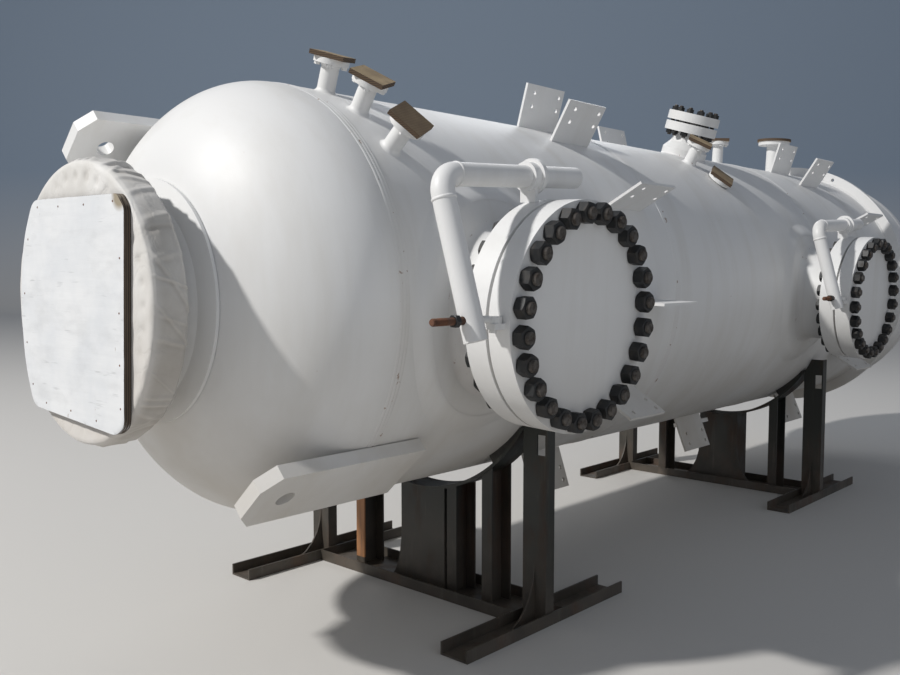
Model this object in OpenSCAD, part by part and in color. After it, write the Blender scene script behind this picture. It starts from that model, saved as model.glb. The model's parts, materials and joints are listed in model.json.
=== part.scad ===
// Vertical pressure vessel lying on two transport cradles. The vessel axis runs along X,
// Z is up from the ground, both manways face -Y, and X is measured from the near cradle.

/* [Vessel] */
// outside diameter of the shell
shell_od = 1900; // [1500:10:2400]
// thickness of the shell and head plate
wall = 36; // [16:1:60]
// length of the cylindrical shell between the two head seams
shell_length = 6290; // [5900:10:7600]
// height of the vessel axis above the ground
axis_height = 1580; // [1500:5:1800]
// depth of the curved part of each head
head_depth = 570; // [400:5:900]
// straight length of each head next to its seam
head_straight = 40; // [30:5:120]

/* [End nozzle] */
// outside diameter of the end nozzle neck
end_neck_od = 760; // [600:10:860]
// diameter of the end nozzle flange
end_flange_od = 1085; // [980:5:1130]
// thickness of the end nozzle flange
end_flange_t = 112; // [60:2:130]
// distance from the near head seam to the outer face of the end flange
end_reach = 822; // [760:5:950]
// bore of the end nozzle
end_bore = 600; // [400:10:680]
// outside diameter of the reinforcing pad around the end nozzle
end_pad_od = 1000; // [920:10:1200]
// thickness of the cloth cover over the end flange
wrap_t = 5; // [3:0.5:10]
// thickness of the plywood board nailed over the end flange
board_t = 30; // [15:1:45]

/* [Manways] */
// distance of the first manway from the near head seam
manway_1_from_seam = 600; // [580:5:700]
// distance between the two manways
manway_spacing = 3373; // [3200:5:3600]
// angle of the manways round the shell, from the top towards -Y
manway_angle = 92.6; // [85:0.2:100]
// size of the second manway, as a share of the first
manway_2_share = 0.865; // [0.7:0.005:1]
// diameter of the first manway's flange and cover
manway_flange_od = 940; // [860:5:980]
// thickness of the first manway's flange and cover
manway_flange_t = 102; // [80:2:120]
// distance from the shell to the middle of the gasket gap, along the manway
manway_reach = 302; // [260:2:380]
// width of the gap between the manway flange and cover
manway_gap = 15; // [9:1:24]
// outside diameter of the first manway's neck
manway_neck_od = 690; // [600:10:720]
// bore of the first manway
manway_bore = 560; // [450:10:590]
// outside diameter of the reinforcing pad of the first manway
manway_pad_od = 960; // [860:10:1080]
// thickness of the reinforcing pads
manway_pad_t = 24; // [12:1:36]
// diameter of the first manway's davit pipe
davit_od = 89; // [60:1:110]
// length of the davit post from its elbow to its closed end
davit_post = 832; // [700:1:1000]
// length of the davit arm below its elbow
davit_arm = 618; // [500:1:700]
// how far the elbow end of a davit has sagged, in degrees
davit_sag = 2.9; // [0:0.1:4]
// diameter of the eye bolt that hangs a manway cover from its davit
eye_bolt_d = 28; // [16:1:36]

/* [Nozzles] */
// outside diameter of a small nozzle neck
small_neck_od = 80; // [60:2:100]
// diameter of a small nozzle flange
small_flange_od = 155; // [130:5:180]
// thickness of a small nozzle flange
small_flange_t = 24; // [16:1:40]
// distance of a small nozzle face from the shell
small_reach = 145; // [110:5:220]
// side of a square wooden nozzle cover
cover_side = 155; // [120:5:220]
// thickness of a wooden nozzle cover
cover_t = 20; // [12:1:30]
// distance of the front nozzles from the near head seam
front_nozzles_from_seam = 150; // [130:5:260]
// distance of the blanked nozzle from the near head seam
blanked_from_seam = 3335; // [3250:5:3450]
// diameter of the blanked nozzle flange
blank_flange_od = 345; // [300:5:380]
// thickness of the blanked nozzle flange and its blank
blank_flange_t = 58; // [40:2:70]
// distance of the blanked nozzle face from the shell
blank_reach = 216; // [190:2:300]
// distance of the round-covered nozzle from the near head seam
covered_from_seam = 5320; // [5200:5:5400]
// outside diameter of the round-covered nozzle neck
covered_neck_od = 114; // [90:2:140]
// distance of the round-covered nozzle face from the shell
covered_reach = 271; // [160:1:320]
// distance of the middle small nozzle from the near head seam
mid_from_seam = 3049; // [2950:1:3120]
// distance of the low pad nozzle from the near head seam
pad_nozzle_from_seam = 3147; // [3040:1:3220]
// distance of the pad nozzle face from the shell
pad_nozzle_reach = 30; // [26:1:60]
// distance of the top small nozzle from the near head seam
top_from_seam = 4309; // [4150:1:4600]
// distance of the top small nozzle face from the shell
top_reach = 174; // [110:1:240]
// distance of the drain nozzle from the near head seam
drain_from_seam = 3560; // [3460:5:3700]
// outside diameter of the drain nozzle neck
drain_neck_od = 114; // [80:2:130]
// diameter of the drain nozzle flange
drain_flange_od = 244; // [200:2:280]
// distance of the outlet flange face from the far head seam
outlet_reach = 745; // [690:5:900]
// outside diameter of the outlet nozzle neck
outlet_neck_od = 460; // [300:10:520]
// diameter of the outlet flange
outlet_flange_od = 660; // [580:10:760]
// thickness of the outlet flange
outlet_flange_t = 62; // [40:1:80]

/* [Lugs and clips] */
// width of a lifting lug
lug_w = 325; // [260:5:360]
// length of a lifting lug
lug_length = 800; // [700:10:900]
// thickness of a lifting lug
lug_t = 60; // [30:1:70]
// height of a lifting lug's outer face over the shell
lug_rise = 53; // [40:1:65]
// diameter of the lifting eye
lug_eye = 80; // [50:2:110]
// angle of the near lifting lug round the shell
lug_angle = 137; // [126:1:146]
// width of a platform clip along the vessel
clip_w = 335; // [280:5:380]
// thickness of a platform clip
clip_t = 14; // [10:1:20]
// how far a platform clip stands off the shell
clip_reach = 235; // [180:5:280]
// diameter of the bolt holes in a platform clip
clip_hole = 24; // [14:1:28]
// distance of a clip's first bolt holes from its near edge
clip_hole_x = 76; // [40:1:100]
// distance between a clip's bolt holes along the vessel
clip_hole_gap = 221; // [120:1:240]
// distance of a clip's outer bolt holes from its outer edge
clip_hole_edge = 42; // [30:1:70]
// distance between a clip's two rows of bolt holes
clip_row_gap = 73; // [50:1:90]
// distance of the first platform clips from the near head seam
clips_1_from_seam = 1540; // [1500:5:1700]
// distance of the second platform clips from the near head seam
clips_2_from_seam = 4720; // [4690:5:4860]
// distance of the riser clip from the near head seam
riser_from_seam = 3150; // [3000:5:3300]
// how far the support ring stands off the shell
ring_reach = 85; // [60:5:160]
// thickness of the support ring
ring_t = 40; // [25:1:60]
// distance of the support ring from the near head seam
ring_from_seam = 5695; // [5600:5:5800]

/* [Cradles] */
// distance of the near head seam from the middle of the near cradle
seam_from_cradle = 1092; // [1040:2:1160]
// distance between the two cradles
cradle_spacing = 3400; // [3250:10:3550]
// inner radius of a cradle band, which is smaller than the shell's
saddle_r = 852; // [835:1:890]
// width of a cradle band along the vessel
band_w = 165; // [150:5:200]
// thickness of a cradle band
band_t = 16; // [10:1:25]
// thickness of the packing between the shell and the tips of a band
packing_t = 5; // [4:0.5:14]
// distance of the outer legs from the vessel's middle
leg_y = 805; // [780:5:840]
// web of an outer leg's channel
leg_w = 140; // [100:5:160]
// flange of a leg's channel
leg_flange = 66; // [50:2:80]
// web of an inner leg's channel
inner_leg_w = 155; // [120:5:160]
// height of the channels that a cradle stands on
base_h = 60; // [50:5:80]
// length of the channels along the vessel
runner_length = 1235; // [1000:5:1400]
// width of the cross channel between the runners
cross_w = 300; // [240:5:340]

/* [Hidden] */
$fn = 48;
seat = 0.3;
shell_r = shell_od / 2;
shell_x0 = -seam_from_cradle;
shell_x1 = shell_x0 + shell_length;
course = shell_length / 3;
tangent_x = shell_x0 - head_straight;
far_tangent_x = shell_x1 + head_straight;
manway_x = [shell_x0 + manway_1_from_seam, shell_x0 + manway_1_from_seam + manway_spacing];
share = [1, manway_2_share];
gap_plane = shell_r + manway_reach;
function neck_r(i) = manway_neck_od / 2 * share[i];
function rim_r(i) = manway_flange_od / 2 * share[i];
function bore_r(i) = manway_bore / 2 * share[i];
function face_r(i) = (rim_r(i) + neck_r(i)) / 2 - 58 * share[i];
function flange_face(i) = gap_plane - manway_gap / 2 * share[i];
function flange_back(i) = flange_face(i) - manway_flange_t * share[i];
function cover_face(i) = gap_plane + manway_gap / 2 * share[i];
function inside(r) = sqrt(pow(shell_r - wall, 2) - pow(r, 2)) - 4;
end_face = shell_x0 - end_reach;
end_neck_r = end_neck_od / 2;
end_flange_r = end_flange_od / 2;
small_r = small_neck_od / 2;
front_nozzles = [for (a = [19, 33.5, 49]) [shell_x0 + front_nozzles_from_seam, a, small_reach]];
blank_at = [shell_x0 + blanked_from_seam, 17.3];
mid_nozzles = [[shell_x0 + mid_from_seam, 30.6, small_reach], [shell_x0 + pad_nozzle_from_seam, 42.5, pad_nozzle_reach],
    [shell_x0 + top_from_seam, 2.6, top_reach]];
blank_face = shell_r + blank_reach;
blank_neck_r = 84;
covered_at = [shell_x0 + covered_from_seam, 2.6];
covered_face = shell_r + covered_reach;
covered_neck_r = covered_neck_od / 2;
covered_flange_r = covered_neck_r + 70;
drain_at = [shell_x0 + drain_from_seam, 165];
drain_neck_r = drain_neck_od / 2;
drain_flange_r = drain_flange_od / 2;
drain_face = shell_r + 66;
far_neck_r = outlet_neck_od / 2;
far_flange_r = outlet_flange_od / 2;
far_face = shell_x1 + outlet_reach;
far_flange_t = outlet_flange_t;
clips_1 = [16.2, 31, 61.8, 92, 122, 161];
clips_2 = [18, 34, 62.5, 92, 122, 157];
davit_off = 84;
davit_bend = 80;
davit_tilt = 16.8;
davit_elbow = 655;
sleeve_at = -125;
lug_eye_x = 158;
lug_nose = 65;
section_t = 9;
runner_w = leg_w + 2 * section_t + 2;
runner_lead = 40;
band_out = saddle_r + band_t;
tip = asin((leg_y - leg_w / 2 - seat) / band_out);
saddle_drop = sqrt(pow(shell_r + packing_t, 2) - pow(saddle_r * sin(tip), 2)) - saddle_r * cos(tip);
leg_top = axis_height - sqrt(pow(shell_r + packing_t, 2) - pow(leg_y - leg_w / 2, 2)) + leg_w / 2;
inner_legs = [[-0.62 * leg_y, -0.32 * leg_y, 0.565 * leg_y], [-0.62 * leg_y, 0.565 * leg_y]];
pedestal_y = -0.062 * leg_y;
pedestal_half = leg_w * 1.15;
knee = 230;

module along(x, r, l, n = 96) translate([x, 0, axis_height]) rotate([0, 90, 0]) cylinder(r = r, h = l, $fn = n);
module at(x, a) translate([x, 0, axis_height]) rotate([a, 0, 0]) children();
module rod(x, y, z, r, l, n = 32) translate([x, y, z]) rotate([0, 90, 0]) cylinder(r = r, h = l, $fn = n);

module nozzle_holes() {
    for (i = [0, 1]) at(manway_x[i], manway_angle) cylinder(r = neck_r(i) + seat, h = shell_od);
    for (p = concat(front_nozzles, mid_nozzles)) at(p[0], p[1]) cylinder(r = small_r + seat, h = shell_od, $fn = 24);
    at(blank_at[0], blank_at[1]) cylinder(r = blank_neck_r + seat, h = shell_od, $fn = 32);
    at(covered_at[0], covered_at[1]) cylinder(r = covered_neck_r + seat, h = shell_od, $fn = 32);
    at(drain_at[0], drain_at[1]) cylinder(r = drain_neck_r + seat, h = shell_od, $fn = 32);
}

module shell_course(i) color("white") difference() {
    along(shell_x0 + i * course + (i > 0 ? seat / 2 : 0), shell_r, course - (i > 0 ? seat / 2 : 0) - (i < 2 ? seat / 2 : 0));
    along(shell_x0 - 10, shell_r - wall, shell_length + 20);
    nozzle_holes();
}
module shell_course_near() shell_course(0);
module shell_course_mid() shell_course(1);
module shell_course_far() shell_course(2);

// the rounded head, closed at its seam, and the height of its outside at radius r
function arc(r, d, from, to, n = 12) = [for (i = [0:n]) let (a = from + (to - from) * i / n) [r * cos(a), d * sin(a)]];
function head_h(r) = head_depth * sqrt(max(0, 1 - pow(r / shell_r, 2)));
module head_shape() rotate_extrude($fn = 96) polygon(concat([[shell_r, -head_straight + seat]], arc(shell_r, head_depth, 0, 90),
    arc(shell_r - wall, head_depth - wall, 90, 0), [[shell_r - wall, -head_straight + seat]]));
module near_head() color("white") difference() {
    translate([tangent_x, 0, axis_height]) rotate([0, -90, 0]) head_shape();
    along(tangent_x - head_depth - 10, end_neck_r + seat, head_depth, 72);
}
module far_head() color("white") difference() {
    translate([far_tangent_x, 0, axis_height]) rotate([0, 90, 0]) head_shape();
    along(far_tangent_x + 10, far_neck_r + seat, head_depth, 60);
}

module end_nozzle() color("white") translate([end_face, 0, axis_height]) rotate([0, 90, 0]) rotate_extrude($fn = 72)
    polygon([[end_bore / 2, 0], [end_flange_r, 0], [end_flange_r, end_flange_t], [end_neck_r + 45, end_flange_t],
        [end_neck_r, end_flange_t + 60], [end_neck_r, end_reach - head_straight - head_h(end_neck_r) + wall + 10],
        [end_bore / 2, end_reach - head_straight - head_h(end_neck_r) + wall + 10]]);
module end_nozzle_pad() color("white") translate([tangent_x, 0, axis_height]) rotate([0, -90, 0]) rotate_extrude($fn = 72)
    polygon(concat([for (i = [0:3]) let (r = end_neck_r + seat + (end_pad_od / 2 - end_neck_r - seat) * i / 3) [r, head_h(r) + 4]],
        [[end_pad_od / 2, head_h(end_pad_od / 2) + 18], [end_neck_r + 46, head_h(end_neck_r + 46) + 26],
        [end_neck_r + seat, head_h(end_neck_r) + 60]]));
module end_wrap() color("lightgrey") translate([end_face - wrap_t - seat, 0, axis_height]) rotate([0, 90, 0])
    rotate_extrude($fn = 72) polygon([[0, 0], [end_flange_r + seat + wrap_t, 0],
        [end_flange_r + seat + wrap_t, end_flange_t + (wrap_t + seat) * 2], [end_neck_r + 60, end_flange_t + (wrap_t + seat) * 2],
        [end_neck_r + 60, end_flange_t + wrap_t + seat * 2], [end_flange_r + seat, end_flange_t + wrap_t + seat * 2],
        [end_flange_r + seat, wrap_t], [0, wrap_t]]);
module end_board() color("white") translate([end_face - wrap_t - seat * 2 - board_t, 0, axis_height]) rotate([90, 0, 90])
    linear_extrude(board_t) polygon(end_flange_r * [[0.599, 0.759], [0.783, 0.461], [0.866, 0.018], [0.82, -0.47],
        [0.686, -0.793], [-0.575, -0.876], [-0.697, -0.807], [-0.765, 0.645], [-0.678, 0.741]]);

module outlet_nozzle() color("white") translate([far_face, 0, axis_height]) rotate([0, -90, 0]) rotate_extrude($fn = 60)
    polygon([[far_neck_r - 30, 0], [far_flange_r, 0], [far_flange_r, far_flange_t], [far_neck_r + 20, far_flange_t],
        [far_neck_r, far_flange_t + 40], [far_neck_r, far_face - far_tangent_x - head_h(far_neck_r) + wall + 10],
        [far_neck_r - 30, far_face - far_tangent_x - head_h(far_neck_r) + wall + 10]]);
module outlet_cover() color("tan") along(far_face + seat, far_flange_r + 10, 25, 60);

module lug(a) difference() {
    at(0, a) difference() {
        translate([shell_x0 + 265 - lug_length, 0, shell_r + lug_rise - lug_t]) linear_extrude(lug_t) polygon([[0, -lug_w / 2 + 78],
            [lug_nose, -lug_w / 2], [lug_length, -lug_w / 2], [lug_length, lug_w / 2], [lug_nose, lug_w / 2], [0, lug_w / 2 - 78]]);
        translate([shell_x0 + 265 - lug_length + lug_eye_x, 0, shell_r + lug_rise - lug_t - 1])
            cylinder(r = lug_eye / 2, h = lug_t + 2, $fn = 32);
    }
    along(tangent_x, shell_r + seat, lug_length);
    translate([tangent_x + 1, 0, axis_height]) rotate([0, -90, 0]) rotate_extrude($fn = 96)
        polygon(concat([[0, 0]], [for (p = arc(shell_r, head_depth, 0, 90)) [p[0] + seat * min(1, p[0]), p[1] + 1 + seat]]));
}
module lifting_lug_near() color("white") lug(lug_angle);
module lifting_lug_far() color("white") lug(lug_angle + 180);

module manway_nozzle(i) color("white") at(manway_x[i], manway_angle) rotate_extrude($fn = 72)
    polygon([[bore_r(i), inside(neck_r(i))], [neck_r(i), inside(neck_r(i))], [neck_r(i), flange_back(i) - 40 * share[i]],
        [neck_r(i) + 12 * share[i], flange_back(i)], [rim_r(i), flange_back(i)], [rim_r(i), flange_face(i)],
        [face_r(i), flange_face(i)], [face_r(i), flange_face(i) + 5 * share[i]], [bore_r(i), flange_face(i) + 5 * share[i]]]);
module manway_pad(i) color("white") difference() {
    intersection() {
        difference() {
            along(manway_x[i] - manway_pad_od, shell_r + manway_pad_t, manway_pad_od * 2);
            along(manway_x[i] - manway_pad_od - 1, shell_r + seat, manway_pad_od * 2 + 2);
        }
        at(manway_x[i], manway_angle) cylinder(r = manway_pad_od / 2 * share[i], h = shell_od, $fn = 72);
    }
    at(manway_x[i], manway_angle) cylinder(r = neck_r(i) + seat, h = shell_od, $fn = 72);
}
module manway_gasket(i) color("dimgrey") at(manway_x[i], manway_angle) translate([0, 0, flange_face(i) + 5 * share[i]])
    difference() {
        cylinder(r = face_r(i) - 3, h = (manway_gap - 10) * share[i], $fn = 72);
        translate([0, 0, -1]) cylinder(r = bore_r(i) + 10, h = manway_gap, $fn = 72);
    }
module manway_cover(i) color("white") at(manway_x[i], manway_angle) {
    translate([0, 0, cover_face(i)]) cylinder(r = rim_r(i), h = manway_flange_t * share[i], $fn = 72);
    translate([0, 0, cover_face(i) - 5 * share[i]]) cylinder(r = face_r(i), h = 6 * share[i], $fn = 72);
    translate([0, 0, cover_face(i) + manway_flange_t / 2 * share[i]]) difference() {
        translate([-rim_r(i) - 62, -26, -32]) cube([66, 22, 64]);
        translate([-rim_r(i) - 34, -30, 0]) rotate([-90, 0, 0]) cylinder(r = eye_bolt_d / 2 + seat, h = 40, $fn = 24);
    }
}

// a davit lies in its own frame: the post along X through the origin, the arm towards -Y
module davit_frame(i) at(manway_x[i], manway_angle) translate([sleeve_at * share[i], rim_r(i) + davit_off * share[i],
    flange_face(i) - 88 * share[i]]) rotate([0, 0, davit_sag]) children();
module bent_pipe(i) rotate([-davit_tilt, 0, 0]) let (k = share[i], r = davit_od / 2 * share[i], b = davit_bend * share[i],
    x = -(davit_elbow + sleeve_at) * share[i]) {
    rod(x + b, 0, 0, r, davit_post * k - b);
    translate([x + b, -b, 0]) rotate([0, 0, 90]) rotate_extrude(angle = 90, $fn = 32) translate([b, 0]) circle(r = r, $fn = 32);
    translate([x, -b, 0]) rotate([90, 0, 0]) cylinder(r = r, h = (davit_arm - davit_bend) * k, $fn = 32);
}
module eye_bolt_axis(i, r, l) at(manway_x[i], manway_angle) rod(-(davit_elbow + 105) * share[i], 11, cover_face(i) + manway_flange_t / 2 * share[i], r, l, 24);
module manway_davit(i) color("white") difference() {
    davit_frame(i) bent_pipe(i);
    eye_bolt_axis(i, eye_bolt_d / 2 + 2, 260);
}
module manway_davit_sleeve(i) color("white") difference() {
    davit_frame(i) difference() {
        union() {
            rod(-34 * share[i], 0, 0, (davit_od / 2 + 14) * share[i], 62 * share[i]);
            rod(4 * share[i], 0, 0, (davit_od / 2 + 28) * share[i], 20 * share[i]);
            translate([-14 * share[i], -(davit_off + 30) * share[i], -38 * share[i]]) cube([20 * share[i], davit_off * share[i], 76 * share[i]]);
        }
        rod(-100, 0, 0, davit_od / 2 * share[i] + seat, 200);
    }
    at(manway_x[i], manway_angle) translate([0, 0, flange_back(i) - 200]) cylinder(r = rim_r(i) + seat, h = 600, $fn = 72);
}
module manway_eye_bolt(i) color("sienna") {
    eye_bolt_axis(i, eye_bolt_d / 2, (davit_elbow + 105) * share[i] - rim_r(i) - 64);
    at(manway_x[i], manway_angle) translate([-rim_r(i) - 34, 0, cover_face(i) + manway_flange_t / 2 * share[i]]) {
        translate([0, -4 + seat, 0]) rotate([-90, 0, 0]) cylinder(r = 32, h = 24, $fn = 32);
        translate([0, -40, 0]) rotate([-90, 0, 0]) cylinder(r = eye_bolt_d / 2, h = 60, $fn = 24);
    }
}
module manway_1_nozzle() manway_nozzle(0);
module manway_1_pad() manway_pad(0);
module manway_1_gasket() manway_gasket(0);
module manway_1_cover() manway_cover(0);
module manway_1_davit() manway_davit(0);
module manway_1_davit_sleeve() manway_davit_sleeve(0);
module manway_1_eye_bolt() manway_eye_bolt(0);
module manway_2_nozzle() manway_nozzle(1);
module manway_2_pad() manway_pad(1);
module manway_2_gasket() manway_gasket(1);
module manway_2_cover() manway_cover(1);
module manway_2_davit() manway_davit(1);
module manway_2_davit_sleeve() manway_davit_sleeve(1);
module manway_2_eye_bolt() manway_eye_bolt(1);

module plain_nozzle(neck, flange, face, t, wall_t, n = 32) rotate_extrude($fn = n)
    polygon([[neck - wall_t, inside(neck)], [neck, inside(neck)], [neck, face - t - 12], [neck + 7, face - t],
        [flange, face - t], [flange, face], [neck - wall_t, face]]);
module small_nozzles(list) for (p = list) at(p[0], p[1])
    plain_nozzle(small_r, small_flange_od / 2, shell_r + p[2], small_flange_t, 15);
module front_nozzles() color("white") small_nozzles(front_nozzles);
module mid_nozzles() color("white") small_nozzles(mid_nozzles);
module nozzle_boards() color("tan") {
    for (p = concat(front_nozzles, mid_nozzles)) at(p[0], p[1]) rotate([0, 0, 30])
        translate([-cover_side / 2, -cover_side / 2, shell_r + p[2] + seat]) cube([cover_side, cover_side, cover_t]);
    at(covered_at[0], covered_at[1]) translate([0, 0, covered_face + seat]) cylinder(r = covered_flange_r + 10, h = cover_t, $fn = 40);
}
module covered_nozzle() color("white") at(covered_at[0], covered_at[1])
    plain_nozzle(covered_neck_r, covered_flange_r, covered_face, 30, 14, 40);
module blanked_nozzle() color("white") at(blank_at[0], blank_at[1]) rotate_extrude($fn = 48)
    polygon([[blank_neck_r - 22, inside(blank_neck_r)], [blank_neck_r, inside(blank_neck_r)], [blank_neck_r, shell_r + seat],
        [blank_flange_od / 2 - 22, shell_r + seat], [blank_flange_od / 2 - 22, shell_r + 44], [blank_neck_r + 26, shell_r + 92],
        [blank_neck_r + 16, blank_face - blank_flange_t - 18], [blank_neck_r + 22, blank_face - blank_flange_t],
        [blank_flange_od / 2, blank_face - blank_flange_t], [blank_flange_od / 2, blank_face], [108, blank_face],
        [108, blank_face + 5], [blank_neck_r - 22, blank_face + 5]]);
module nozzle_blank() color("white") at(blank_at[0], blank_at[1]) {
    translate([0, 0, blank_face + 12]) cylinder(r = blank_flange_od / 2, h = blank_flange_t);
    translate([0, 0, blank_face + 5 + seat]) cylinder(r = 106, h = 8);
}
module drain_nozzle() color("white") at(drain_at[0], drain_at[1]) {
    plain_nozzle(drain_neck_r, drain_flange_r, drain_face, 26, 14, 40);
    translate([0, 0, drain_face - 4]) cylinder(r = drain_neck_r - 10, h = 4, $fn = 40);
}

module clip() translate([0, -clip_t / 2, shell_r - 20]) difference() {
    cube([clip_w, clip_t, clip_reach + 20]);
    for (x = [clip_hole_x, clip_hole_x + clip_hole_gap], z = [clip_hole_edge, clip_hole_edge + clip_row_gap])
        translate([x, -1, clip_reach + 20 - z]) rotate([-90, 0, 0]) cylinder(r = clip_hole / 2, h = clip_t + 2, $fn = 16);
}
module clips(x, angles) difference() {
    for (a = angles) at(x, a) clip();
    along(x - 10, shell_r + seat, clip_w + 20);
}
module platform_clips_1() color("white") clips(shell_x0 + clips_1_from_seam, clips_1);
module platform_clips_2() color("white") clips(shell_x0 + clips_2_from_seam, clips_2);
module riser_clips() color("white") clips(shell_x0 + riser_from_seam, [158, -14.2]);
module support_ring() color("white") difference() {
    along(shell_x0 + ring_from_seam, shell_r + ring_reach, ring_t);
    along(shell_x0 + ring_from_seam - 1, shell_r + seat, ring_t + 2);
    for (a = [25:90:340]) at(shell_x0 + ring_from_seam - 1, a) rod(0, 0, shell_r + ring_reach / 2, 14, ring_t + 2, 24);
}

module wedge(a0, a1, r) polygon(concat([[0, 0]], [for (i = [0:8]) let (a = a0 + (a1 - a0) * i / 8) [r * sin(a), -r * cos(a)]]));
// a slice of thickness w across the vessel, drawn from the vessel axis with Z up
module slice(x, w) translate([x, 0, axis_height]) rotate([90, 0, 90]) linear_extrude(w) children();
// a channel standing up: its web of width h faces -X, and its flanges of width b reach to +X
module post(h, b, l, t) {
    translate([0, -h / 2, 0]) cube([t, h, l]);
    for (y = [-h / 2, h / 2 - t]) translate([t - 1, y, 0]) cube([b - t + 1, t, l]);
}
module channel(l, w, h, t) difference() {
    translate([0, -w / 2, 0]) cube([l, w, h]);
    translate([-1, -w / 2 + t, t]) cube([l + 2, w - 2 * t, h]);
}
module flare(w, h, t) translate([0, t / 2, 0]) rotate([90, 0, 0]) linear_extrude(t)
    polygon(concat([[0, 0]], [for (i = [0:6]) let (a = 90 * i / 6) [w * (1 - sin(a)), h * (1 - cos(a))]], [[-1, h], [-1, 0]]));
module cradle(i) translate([i * cradle_spacing, 0, 0]) children();
module cradle_band(i) color("darkslategrey") cradle(i) slice(-band_w / 2, band_w) translate([0, -saddle_drop]) difference() {
    intersection() { circle(r = band_out, $fn = 96); wedge(-tip, tip, band_out * 1.5); }
    circle(r = saddle_r, $fn = 96);
}
module cradle_packing(i) color("dimgrey") cradle(i) for (s = [-1, 1]) slice(-band_w / 2 + 1, band_w - 2) difference() {
    intersection() {
        translate([0, -saddle_drop]) circle(r = saddle_r - seat, $fn = 96);
        wedge(s * 33, s * 48.2, band_out * 1.5);
    }
    circle(r = shell_r + seat, $fn = 96);
}
module cradle_legs(i) color("darkslategrey") cradle(i) difference() {
    union() {
        for (s = [-1, 1]) translate([-band_w / 2, s * leg_y, section_t + seat]) {
            difference() {
                post(leg_w, leg_flange, leg_top - section_t, section_t);
                translate([-1, s * 37 - 24, leg_top - section_t - 215]) cube([section_t + 2, 48, 100]);
            }
            mirror([1, 0, 0]) flare(knee, knee * 1.2, 10);
            translate([section_t, 0, 0]) flare(knee + leg_flange, knee * 1.2, 10);
        }
        for (y = inner_legs[i]) translate([0, y, section_t + seat]) rotate([0, 0, -90])
            translate([-leg_flange / 2, 0, 0]) post(inner_leg_w, leg_flange, axis_height - saddle_drop - 0.75 * saddle_r, section_t);
        translate([-band_w / 2, pedestal_y - pedestal_half, section_t + seat]) difference() {
            cube([band_w, pedestal_half * 2, axis_height - shell_r]);
            translate([12, 12, -1]) cube([band_w - 24, pedestal_half * 2 - 24, axis_height]);
        }
        translate([-band_w / 2 + 6, pedestal_y + pedestal_half, section_t + seat]) rotate([0, 0, 90]) flare(100 + 100 * i, 300, 12);
        if (i == 1) translate([-band_w / 2 + 6, pedestal_y - pedestal_half, section_t + seat]) rotate([0, 0, -90]) flare(190, 300, 12);
    }
    along(-300, shell_r + packing_t, 600);
    translate([0, 0, -saddle_drop]) along(-300, band_out + seat, 600);
}
module cradle_base(i) color("darkslategrey") cradle(i) {
    for (y = [-leg_y, leg_y]) translate([-runner_length / 2 - runner_lead, y, 0]) channel(runner_length, runner_w, base_h, section_t);
    translate([0, -leg_y + runner_w / 2 - 1, 0]) rotate([0, 0, 90]) channel(leg_y * 2 - runner_w + 2, cross_w, base_h, section_t);
}
module cradle_1_band() cradle_band(0);
module cradle_1_legs() cradle_legs(0);
module cradle_1_base() cradle_base(0);
module cradle_1_packing() cradle_packing(0);
module cradle_2_band() cradle_band(1);
module cradle_2_legs() cradle_legs(1);
module cradle_2_base() cradle_base(1);
module cradle_2_packing() cradle_packing(1);

shell_course_near();
shell_course_mid();
shell_course_far();
near_head();
far_head();
end_nozzle();
end_nozzle_pad();
end_wrap();
end_board();
outlet_nozzle();
outlet_cover();
lifting_lug_near();
lifting_lug_far();
manway_1_nozzle();
manway_1_pad();
manway_1_gasket();
manway_1_cover();
manway_1_davit();
manway_1_davit_sleeve();
manway_1_eye_bolt();
manway_2_nozzle();
manway_2_pad();
manway_2_gasket();
manway_2_cover();
manway_2_davit();
manway_2_davit_sleeve();
manway_2_eye_bolt();
front_nozzles();
mid_nozzles();
nozzle_boards();
covered_nozzle();
blanked_nozzle();
nozzle_blank();
drain_nozzle();
platform_clips_1();
platform_clips_2();
riser_clips();
support_ring();
cradle_1_band();
cradle_1_legs();
cradle_1_base();
cradle_1_packing();
cradle_2_band();
cradle_2_legs();
cradle_2_base();
cradle_2_packing();
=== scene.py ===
import json
import math
import bpy
import numpy as np
from mathutils import Matrix, Vector


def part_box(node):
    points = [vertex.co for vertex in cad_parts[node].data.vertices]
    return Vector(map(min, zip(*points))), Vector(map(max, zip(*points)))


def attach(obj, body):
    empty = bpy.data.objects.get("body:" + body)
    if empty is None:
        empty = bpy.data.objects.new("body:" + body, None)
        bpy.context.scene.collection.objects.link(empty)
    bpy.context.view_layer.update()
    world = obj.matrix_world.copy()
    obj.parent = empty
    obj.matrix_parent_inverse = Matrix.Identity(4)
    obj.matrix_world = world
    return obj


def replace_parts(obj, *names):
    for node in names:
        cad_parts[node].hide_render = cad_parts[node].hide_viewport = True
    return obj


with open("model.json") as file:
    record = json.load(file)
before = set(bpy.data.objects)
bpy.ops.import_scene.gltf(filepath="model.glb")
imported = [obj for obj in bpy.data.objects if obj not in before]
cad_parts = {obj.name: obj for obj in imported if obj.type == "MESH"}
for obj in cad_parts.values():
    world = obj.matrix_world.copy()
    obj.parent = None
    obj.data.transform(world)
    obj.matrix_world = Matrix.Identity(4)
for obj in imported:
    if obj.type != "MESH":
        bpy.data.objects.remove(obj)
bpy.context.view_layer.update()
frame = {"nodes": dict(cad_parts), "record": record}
nodes = frame["nodes"]
print("frame loaded:", len(nodes), "nodes")

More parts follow.
